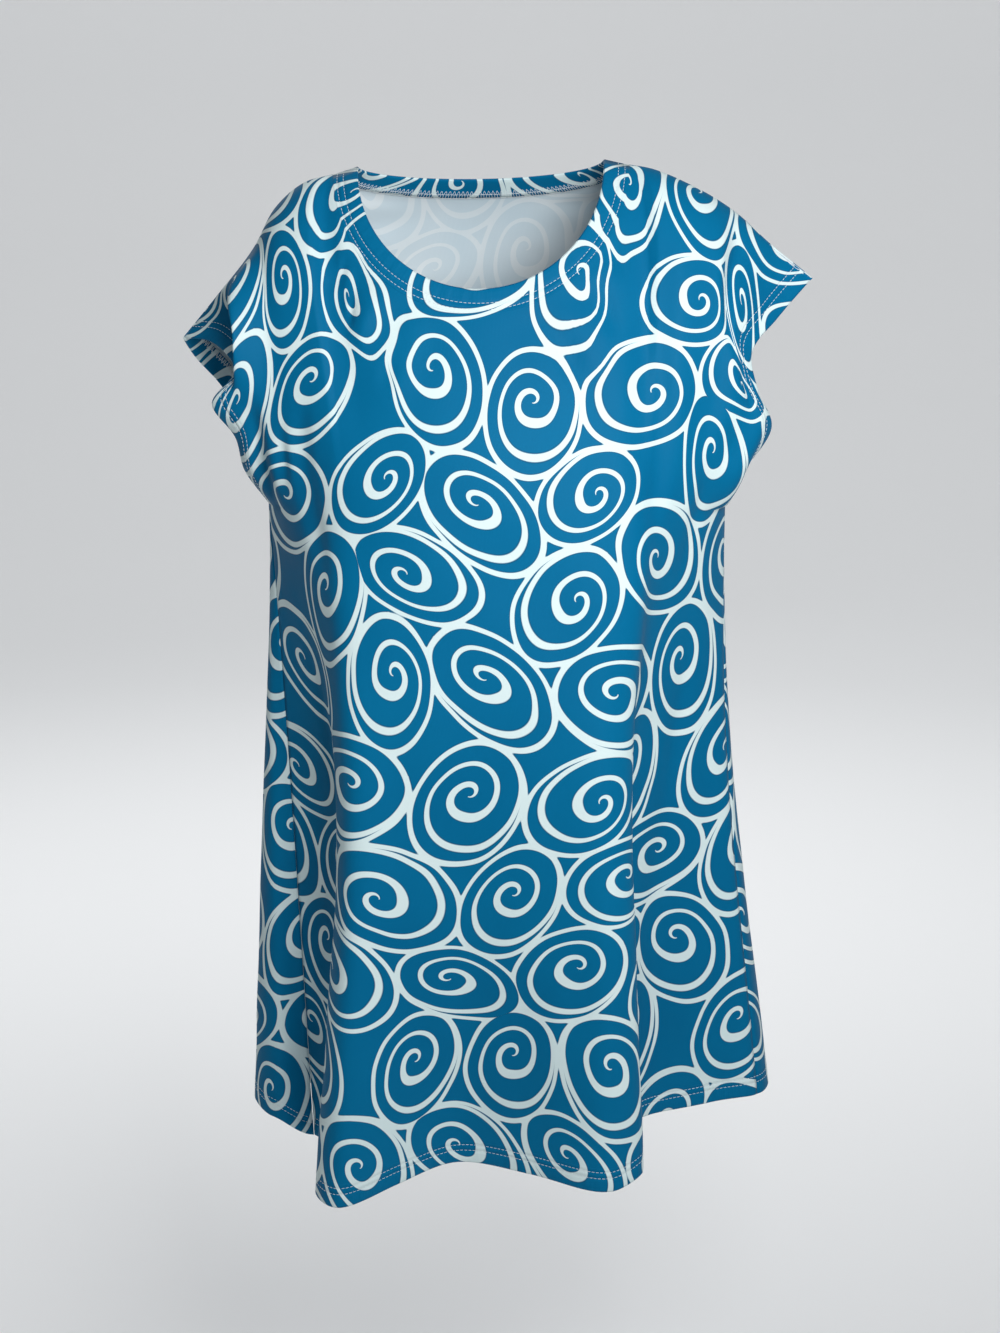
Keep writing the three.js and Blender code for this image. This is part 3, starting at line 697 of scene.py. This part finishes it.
def relief(tree, height, strength, depth, under=None):
    inputs = {"Height": height, "Strength": strength, "Distance": depth * MM}
    if under:
        inputs["Normal"] = under
    return give(tree, tree.nodes.new("ShaderNodeBump"), inputs)[0]


def split(tree, place):
    return give(tree, tree.nodes.new("ShaderNodeSeparateXYZ"), {0: place})


def uv_place(tree, name):
    place = tree.nodes.new("ShaderNodeUVMap")
    place.uv_map = name
    return place.outputs[0]


def use_group(tree, group):
    node = tree.nodes.new("ShaderNodeGroup")
    node.node_tree = group
    return node


def new_group(name, inputs, outputs):
    tree = bpy.data.node_groups.new(name, "ShaderNodeTree")
    for label in inputs:
        tree.interface.new_socket(label, in_out="INPUT", socket_type="NodeSocketVector")
    for label in outputs:
        tree.interface.new_socket(label, in_out="OUTPUT", socket_type="NodeSocketFloat")
    return tree, tree.nodes.new("NodeGroupOutput"), maths(tree)


def new_material(name):
    material = bpy.data.materials.new(name)
    material.use_nodes = True
    tree = material.node_tree
    place = tree.nodes.new("ShaderNodeTexCoord").outputs["Object"]
    return material, tree, tree.nodes["Principled BSDF"], place


# One oval in its own frame, where its outline is the circle of radius 1. The spiral runs in from
# the rim, swells between two of its turns and ends in a bulb.
OVAL_MAPS = ("oval_first", "oval_second", "oval_third")
CENTRE_SHIFT = (0.2, -0.12)
SPIRAL_POWER, SPIRAL_START, SPIRAL_PITCH, SPIRAL_TURNS = 0.8, 0.97, 0.37, 2.4
LINE_HALF, SWELLS_FROM, SWELLS_TO, LINE_END = (0.037, 0.073), 0.9, 1.75, 0.16
RIM_AT, RIM_HALF, RIM_BLEND = 0.96, 0.044, 0.075
LINE_SOFT, DARK_TO = (-0.006, 0.004), 0.02
WOBBLE_SCALE, WOBBLE = 17.0, 0.16


def spiral_group():
    """Distances outside the white spiral and rim of one oval, and how far out in it a point is."""
    outputs = ("Outside Spiral", "Outside Rim", "Out")
    tree, end, m = new_group("spiral oval", ("Place", "Wobble"), outputs)
    start = tree.nodes.new("NodeGroupInput").outputs
    x, y, _ = split(tree, socket(tree, "ShaderNodeVectorMath", "ADD", start["Place"], start["Wobble"]))
    round_out = m("SQRT", m("ADD", m("MULTIPLY", x, x), m("MULTIPLY", y, y)))
    inside = m("SUBTRACT", 1.0, round_out, clamp=True)
    x, y = (m("SUBTRACT", at, m("MULTIPLY", inside, shift)) for at, shift in zip((x, y), CENTRE_SHIFT))
    out = m("SQRT", m("ADD", m("MULTIPLY", x, x), m("MULTIPLY", y, y)))
    turn = m("DIVIDE", m("ARCTAN2", y, x), 2 * math.pi)
    even = m("POWER", out, SPIRAL_POWER)
    turns = m("SUBTRACT", m("DIVIDE", m("SUBTRACT", SPIRAL_START, even), SPIRAL_PITCH), turn)
    t = m("ADD", m("ROUND", turns), turn)
    arm = m("SUBTRACT", SPIRAL_START, m("MULTIPLY", t, SPIRAL_PITCH))
    swell = ramp(tree, t, SWELLS_FROM, SWELLS_TO, *LINE_HALF)
    tail = ramp(tree, t, SWELLS_TO, SPIRAL_TURNS, 1.0, LINE_END)
    line = m("SUBTRACT", m("ABSOLUTE", m("SUBTRACT", even, arm)), m("MULTIPLY", swell, tail))
    beyond = m("ADD", m("LESS_THAN", t, 0.0), m("GREATER_THAN", t, SPIRAL_TURNS))
    rim = m("SUBTRACT", m("ABSOLUTE", m("SUBTRACT", round_out, RIM_AT)), RIM_HALF)
    give(tree, end, dict(zip(outputs, (m("ADD", line, beyond), rim, round_out))))
    return tree


spiral = spiral_group()


def print_group():
    """The print as two masks: its white lines, and the thin dark edge beside them."""
    tree, end, m = new_group("spiral print", (), ("White", "Edge"))
    place = tree.nodes.new("ShaderNodeTexCoord").outputs["Object"]
    uneven = noise(tree, place, WOBBLE_SCALE, 1.0)["Color"]
    centred = socket(tree, "ShaderNodeVectorMath", "SUBTRACT", uneven, (0.5, 0.5, 0.5))
    wobble = socket(tree, "ShaderNodeVectorMath", "MULTIPLY", centred, (WOBBLE, WOBBLE, WOBBLE))
    ovals = [give(tree, use_group(tree, spiral), {"Place": uv_place(tree, name), "Wobble": wobble})
             for name in OVAL_MAPS]
    nearest = m("MINIMUM", ovals[0]["Out"], m("MINIMUM", ovals[1]["Out"], ovals[2]["Out"]))
    inside, past = m("LESS_THAN", nearest, RIM_AT), m("ADD", nearest, 0.0001)
    hidden = [m("MULTIPLY", inside, m("GREATER_THAN", oval["Out"], past)) for oval in ovals]
    spirals = [m("ADD", oval["Outside Spiral"], gone) for oval, gone in zip(ovals, hidden)]
    rims = [m("ADD", oval["Outside Rim"], gone) for oval, gone in zip(ovals, hidden)]
    joined = m("SMOOTH_MIN", rims[0], m("SMOOTH_MIN", rims[1], rims[2], RIM_BLEND), RIM_BLEND)
    away = m("MINIMUM", joined, m("MINIMUM", spirals[0], m("MINIMUM", spirals[1], spirals[2])))
    white = ramp(tree, away, *LINE_SOFT, 1.0, 0.0)
    beside = ramp(tree, away, LINE_SOFT[1], DARK_TO, 1.0, 0.0)
    give(tree, end, {"White": white, "Edge": m("MULTIPLY", m("SUBTRACT", 1.0, white, clamp=True), beside)})
    return tree


# Fine ribs across and rows up the knit, their share of its height, and the depths of the relief
WALE, COURSE, WALE_SHARE, COURSE_SHARE, FUZZ_SCALE = 1.1, 0.9, 0.5, 0.3, 900.0
KNIT_DEPTH, HEM_DEPTH = 0.12, 0.8


def knit_group():
    tree, end, m = new_group("knit surface", ("Cut Place",), ("Height",))
    start = tree.nodes.new("NodeGroupInput").outputs["Cut Place"]
    across, up, _ = split(tree, start)
    wales = m("SINE", m("MULTIPLY", across, 2 * math.pi / (WALE * MM)))
    courses = m("SINE", m("MULTIPLY", up, 2 * math.pi / (COURSE * MM)))
    loops = m("ADD", m("MULTIPLY", wales, WALE_SHARE), m("MULTIPLY", courses, COURSE_SHARE))
    give(tree, end, {"Height": m("ADD", loops, noise(tree, start, FUZZ_SCALE)[0])})
    return tree


spiral_print, knit = print_group(), knit_group()


def knit_relief(tree, strength):
    surface = give(tree, use_group(tree, knit), {"Cut Place": uv_place(tree, "cut")})
    return relief(tree, surface[0], strength, KNIT_DEPTH)


BLUE, DEEP_BLUE, WHITE = (0.0, 0.155, 0.32, 1), (0.0, 0.108, 0.245, 1), (0.66, 0.79, 0.8, 1)
LINE_EDGE, LINE_EDGE_SHARE = (0.004, 0.05, 0.1, 1), 0.55
PALE, PALE_PRINT, GHOST = (0.46, 0.58, 0.65, 1), (0.68, 0.73, 0.75, 1), (-0.15, 0.3)
STITCH_ROWS, STITCH_DENT = (11.5, 17.0), 1.6
PUCKER_BAND, PUCKER_SCALE, PUCKER_STRETCH, PUCKER_HEIGHT = (17.0, 26.0), 160.0, 0.16, 1.6


def printed_jersey():
    """The printed side, with dents at the stitch rows and small puckers on the turned edges."""
    material, tree, shader, place = new_material("printed jersey")
    m, masks = maths(tree), use_group(tree, spiral_print).outputs
    tone = noise(tree, place, 7.0, 3.0)[0]
    blue, dark = blend(tree, tone, DEEP_BLUE, BLUE), m("MULTIPLY", masks["Edge"], LINE_EDGE_SHARE)
    edge = uv_place(tree, "edge_place")
    far, rows = split(tree, edge)[0], []
    for distance in STITCH_ROWS:
        off = m("DIVIDE", m("SUBTRACT", far, distance * MM), STITCH_DENT * MM)
        rows.append(m("POWER", math.e, m("MULTIPLY", -1.0, m("MULTIPLY", off, off))))
    stretched = tree.nodes.new("ShaderNodeMapping")
    stretched = give(tree, stretched, {"Vector": edge, "Scale": (PUCKER_STRETCH, 1.0, 1.0)})[0]
    band = ramp(tree, far, PUCKER_BAND[0] * MM, PUCKER_BAND[1] * MM, 1.0, 0.0)
    puckers = m("MULTIPLY", m("MULTIPLY", noise(tree, stretched, PUCKER_SCALE)[0], band), PUCKER_HEIGHT)
    dents = m("SUBTRACT", puckers, m("ADD", rows[0], rows[1]))
    give(tree, shader, {
        "Base Color": blend(tree, masks["White"], blend(tree, dark, blue, LINE_EDGE), WHITE),
        "Roughness": ramp(tree, tone, 0.3, 0.7, 0.5, 0.62),
        "Specular IOR Level": 0.06, "Sheen Weight": 0.02, "Sheen Roughness": 0.4,
        "Normal": relief(tree, dents, 0.7, HEM_DEPTH, knit_relief(tree, 0.25)),
    })
    return material


def wrong_side(name, shows_print):
    """The pale inner side of the jersey, through which the print shows faintly."""
    material, tree, shader, place = new_material(name)
    tone = noise(tree, place, 12.0)[0]
    if shows_print:
        ghost = ramp(tree, use_group(tree, spiral_print).outputs["White"], 0.0, 1.0, *GHOST)
        tone = maths(tree)("ADD", ghost, tone, clamp=True)
    give(tree, shader, {"Base Color": blend(tree, tone, PALE, PALE_PRINT), "Roughness": 0.75,
                        "Sheen Weight": 0.1, "Normal": knit_relief(tree, 0.3)})
    return material


print_side, pale_side = printed_jersey(), wrong_side("jersey wrong side", True)
PANEL_TURNS = ("neck_turn", "hem_turn", "left_sleeve_turn", "right_sleeve_turn")
for panel in ("front", "back"):
    piece = build_panel(panel)
    piece.data.materials.append(print_side)
    piece.data.materials.append(pale_side)
    thicken(piece, JERSEY, -1)
    flat = np.array(sheets[panel].flat)
    corners = flat[np.array(sheets[panel].faces)]
    size = (flat.max(axis=0) - flat.min(axis=0)) * MM
    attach(piece, "root")
    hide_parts(f"{panel}_panel", *(f"{panel}_{turn}" for turn in PANEL_TURNS))

# Twin stitching
# Two rows of white thread hold each turned edge down. One stitch is modelled and copied along
# them. On the inside a looper thread crosses from row to row, and thread binds the raw edge.
THREAD, STITCH, STITCH_SPACE, STITCH_LIFT, END_SINK, END_TAPER = 0.42, 2.9, 0.75, 0.14, 0.35, 0.7
OVERLOCK_WIDE, OVERLOCK_STEP, RUN_STEP, RAW_IN, THREAD_CLEAR = 4.2, 2.4, 6.0, 0.2, 0.15
bpy.ops.mesh.primitive_cylinder_add(vertices=5, radius=THREAD / 2 * MM, depth=STITCH * MM,
                                    location=(0, 0, 0), rotation=(0, math.pi / 2, 0))
one_stitch = bpy.context.object
bpy.ops.object.transform_apply(location=False, rotation=True, scale=False)
bpy.ops.object.mode_set(mode="EDIT")
edit = bmesh.from_edit_mesh(one_stitch.data)
for edge in edit.edges:
    edge.select_set(abs(edge.verts[0].co.x - edge.verts[1].co.x) > 0.9 * STITCH * MM)
bpy.ops.mesh.subdivide(number_cuts=3)
bpy.ops.mesh.select_all(action="DESELECT")
edit = bmesh.from_edit_mesh(one_stitch.data)
for vert in edit.verts:
    vert.select_set(abs(vert.co.x) > 0.49 * STITCH * MM)
edit.select_flush(True)
bpy.ops.transform.resize(value=(1, END_TAPER, END_TAPER))
bpy.ops.transform.translate(value=(0, 0, -END_SINK * MM))
bpy.ops.object.mode_set(mode="OBJECT")
stitch_shape = np.array([vert.co for vert in one_stitch.data.vertices]) / MM
stitch_faces = [tuple(face.vertices) for face in one_stitch.data.polygons]
bpy.data.objects.remove(one_stitch)


def thread_material():
    """Soft white thread, a little fibrous."""
    material, tree, shader, place = new_material("sewing thread")
    fibre = noise(tree, place, 1400.0)[0]
    give(tree, shader, {"Base Color": blend(tree, fibre, (0.6, 0.68, 0.72, 1), (0.86, 0.89, 0.9, 1)),
                        "Roughness": 0.55, "Normal": relief(tree, fibre, 0.4, 0.1)})
    return material


thread = thread_material()


class Line:
    """A line on the cloth at a distance in from a turned or sewn edge."""

    def __init__(self, sheet, rows, distance):
        at = np.array([[sheet.points[k] for k in row] for row in rows])
        up = np.array([[sheet.normals[k] for k in row] for row in rows])
        steps = np.cumsum(np.linalg.norm(np.diff(at, axis=0), axis=2), axis=0)
        deep = np.concatenate([np.zeros((1, at.shape[1])), steps])
        both = np.concatenate([at, up], axis=2)
        self.both = np.array([[np.interp(distance, deep[:, i], both[:, i, k]) for k in range(6)]
                              for i in range(at.shape[1])])
        walk = np.linalg.norm(np.diff(self.both[:, :3], axis=0), axis=1)
        self.far = np.concatenate([[0], np.cumsum(walk)])
        self.length = self.far[-1]

    def spots(self, shares, lift):
        """Points at shares of the line's length, lifted off the cloth, and the way up there."""
        found = np.stack([np.interp(shares * self.length, self.far, self.both[:, k]) for k in range(6)], 1)
        up = unit(found[:, 3:])
        return found[:, :3] + up * lift, up


def copies(starts, ends, ups):
    """The points of one stitch for each pair of places, stretched from one to the other."""
    way = ends - starts
    length = np.linalg.norm(way, axis=1, keepdims=True)
    way = way / length
    up = unit(ups - way * np.sum(ups * way, axis=1, keepdims=True))
    side = np.cross(up, way)
    x, y, z = (stitch_shape[None, :, k, None] for k in range(3))
    middle = ((starts + ends) / 2)[:, None]
    return middle + x * (way * length / STITCH)[:, None] + y * side[:, None] + z * up[:, None]


def sew(name, groups):
    """One piece of thread from the stitches of some rows."""
    points = np.concatenate(groups)
    count, each = points.shape[:2]
    faces = [tuple(k * each + corner for corner in face) for k in range(count) for face in stitch_faces]
    piece = new_piece(name, points, faces)
    piece.data.materials.append(thread)
    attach(piece, "root")


def stitches_along(line, lift):
    count = int(line.length // (STITCH + STITCH_SPACE))
    middle = (np.arange(count) + 0.5) / count
    half = STITCH / 2 / line.length
    (starts, ups), (ends, _) = line.spots(middle - half, lift), line.spots(middle + half, lift)
    return copies(starts, ends, ups)


def zigzag_between(near, far, lift):
    count = 2 * int(near.length // (STITCH + STITCH_SPACE))
    shares = np.linspace(0, 1, count + 1)
    (a, ups), (b, _) = near.spots(shares, lift), far.spots(shares, lift)
    odd = (np.arange(count + 1) % 2 == 1)[:, None]
    at = np.where(odd, b, a)
    return copies(at[:-1], at[1:], -ups[:-1])


def overlock_between(edge, inner, lift):
    """Loops across the raw edge, and the two threads that run along it on top of them."""
    count = int(edge.length // OVERLOCK_STEP)
    shares = (np.arange(count) + 0.5) / count
    (a, ups), (b, _) = edge.spots(shares, lift), inner.spots(shares, lift)
    made = [copies(a, b, -ups)]
    for line in (edge, inner):
        at, ups = line.spots(np.linspace(0, 1, int(line.length // RUN_STEP) + 1), lift - THREAD_CLEAR)
        made.append(copies(at[:-1], at[1:], -ups[:-1]))
    return made


# Each edge: its name in the pieces, and how far it is turned in
EDGES = {"neck": ("neck", NECK_TURN), "hem": ("hem", HEM_TURN), "left": ("left_sleeve", CUFF_TURN),
         "right": ("right_sleeve", CUFF_TURN)}
INSIDE_TURN = -2 * FOLD_RADIUS - THREAD_CLEAR
for panel in ("front", "back"):
    sheet = sheets[panel]
    for edge, rows in sheet.edges.items():
        (label, deep), (near, far) = EDGES[edge], (Line(sheet, rows, at) for at in STITCH_ROWS)
        raw, bound = (Line(sheet, rows, deep - RAW_IN - back) for back in (0, OVERLOCK_WIDE))
        sew(f"{panel}_{label}_stitches", [stitches_along(line, STITCH_LIFT) for line in (near, far)])
        sew(f"{panel}_{label}_inside_threads", [zigzag_between(near, far, INSIDE_TURN)]
            + overlock_between(raw, bound, INSIDE_TURN))

# Seams
# The shoulder and side seams are overlocked: the two edges stand together on the inside as a
# narrow strip, pressed to the back and bound by thread.
SEAM_WIDE, SEAM_LAYER, SEAM_CLEAR = 10.5, 0.85, 1.15


def seam_rows(side):
    """The rows of the back that follow its side seam up from the hem, and its shoulder seam."""
    grid = sheets["back"].grid if side == "left" else sheets["back"].grid[:, ::-1]
    up = [grid[TURN_ROWS:chest_row, k] for k in range(8)]
    across = [grid[-1 - k, TURN_ROWS:SHOULDER_COLUMNS + TURN_ROWS + 1] for k in range(8)]
    return {"side": up, "shoulder": across}


def seam_strip(name, rows):
    """Two layers of jersey that lie against the inside of the back, along the seam."""
    lines = [Line(sheets["back"], rows, distance) for distance in np.linspace(0.4, SEAM_WIDE, 5)]
    shape = np.array([line.both[:, :3] - unit(line.both[:, 3:]) * SEAM_CLEAR for line in lines])
    deep, count = shape.shape[:2]
    faces = [(j * count + i, j * count + i + 1, (j + 1) * count + i + 1, (j + 1) * count + i)
             for j in range(deep - 1) for i in range(count - 1)]
    piece = new_piece(name, shape, faces)
    middle = count // 2
    facing = np.cross(shape[0, middle + 1] - shape[0, middle], shape[1, middle] - shape[0, middle])
    if facing @ lines[0].both[middle, 3:] > 0:
        piece.data.flip_normals()
    corners = np.array([loop.vertex_index for loop in piece.data.loops])
    deep_places = corners // count * SEAM_WIDE / (deep - 1)
    write_places(piece.data, "cut", np.column_stack([deep_places, lines[0].far[corners % count]]) * MM)
    piece.data.materials.append(strip_side)
    thicken(piece, 2 * SEAM_LAYER, 1)
    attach(piece, "root")


strip_side = wrong_side("seam strip", False)
for side in ("left", "right"):
    for kind, rows in seam_rows(side).items():
        seam_strip(f"{side}_{kind}_seam", rows)
        raw, bound = (Line(sheets["back"], rows, SEAM_WIDE - back) for back in (0, OVERLOCK_WIDE))
        lift = -(SEAM_CLEAR + 2 * SEAM_LAYER + THREAD_CLEAR)
        sew(f"{side}_{kind}_seam_threads", overlock_between(raw, bound, lift))

# Camera, light and floor
# The camera stands at shoulder height and is pitched down to take in the whole dress. The light
# is soft, from the front and the right. The pale floor curves up into a round backdrop far away.
CAMERA_AT, CAMERA_AIM, CAMERA_LENS = (0.0, -1.8, 0.0), (0.003, 0.0, -0.446), 56.9


def turned_to(at, aim):
    return (Vector(aim) - Vector(at)).to_track_quat("-Z", "Y").to_euler()


camera_data = bpy.data.cameras.new("camera")
camera_data.lens = CAMERA_LENS
camera = bpy.data.objects.new("camera", camera_data)
bpy.context.collection.objects.link(camera)
camera.location = CAMERA_AT
camera.rotation_euler = turned_to(CAMERA_AT, CAMERA_AIM)
bpy.context.scene.camera = camera
bpy.context.scene.view_settings.view_transform = "Standard"

# Each light: name, place, aim, size and power
LIGHTS = [
    ("key light", (0.3, -1.0, 0.1), (0, 0, -0.3), 0.5, 12.2),
    ("front fill", (1.4, -2.2, 0.3), (0, 0, -0.3), 1.6, 2.5),
    ("back light", (-0.6, 2.2, 1.2), (0, 0, -0.3), 1.8, 22),
    ("backdrop light", (0, 1.6, 2.8), (0, 4.3189, 1.5321), 5.0, 155),
]
for name, at, aim, size, power in LIGHTS:
    data = bpy.data.lights.new(name, "AREA")
    data.size, data.energy = size, power
    light = bpy.data.objects.new(name, data)
    bpy.context.collection.objects.link(light)
    light.location, light.rotation_euler = at, turned_to(at, aim)
    light.visible_camera = False

world = bpy.data.worlds.new("studio")
bpy.context.scene.world = world
world.use_nodes = True
sky = world.node_tree.nodes["Background"].inputs
sky["Color"].default_value, sky["Strength"].default_value = (0.93, 0.95, 0.97, 1), 0.24

FLOOR_Z, FLOOR_RADIUS = -1.35, 3.6
# The backdrop's rings: how much wider each is than the last, and how far above it
RINGS = [(1.17, 0.05), (1.15, 0.15), (1.14, 0.3), (1.12, 0.46), (1.1, 0.62), (1.06, 0.8), (1.04, 1.0),
         (1.01, 1.3)]
bpy.ops.mesh.primitive_circle_add(vertices=128, radius=FLOOR_RADIUS, fill_type="NGON",
                                  location=(0, 0, FLOOR_Z))
floor = bpy.context.object
floor.name = "floor and backdrop"
bpy.ops.object.mode_set(mode="EDIT")
bpy.ops.mesh.select_all(action="SELECT")
for out, rise in RINGS:
    bpy.ops.mesh.select_mode(type="EDGE")
    bpy.ops.mesh.region_to_loop()
    bpy.ops.mesh.extrude_edges_move(TRANSFORM_OT_translate={"value": (0, 0, rise)})
    bpy.ops.transform.resize(value=(out, out, 1))
bpy.ops.object.mode_set(mode="OBJECT")
bpy.ops.object.shade_smooth()
paint = bpy.data.materials.new("pale floor")
paint.use_nodes = True
pale = paint.node_tree.nodes["Principled BSDF"].inputs
pale["Base Color"].default_value, pale["Roughness"].default_value = (0.86, 0.87, 0.88, 1), 0.8
floor.data.materials.append(paint)
floor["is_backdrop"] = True

low_high = [[list(map(float, corner)) for corner in box] for box in (cad_box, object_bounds())]
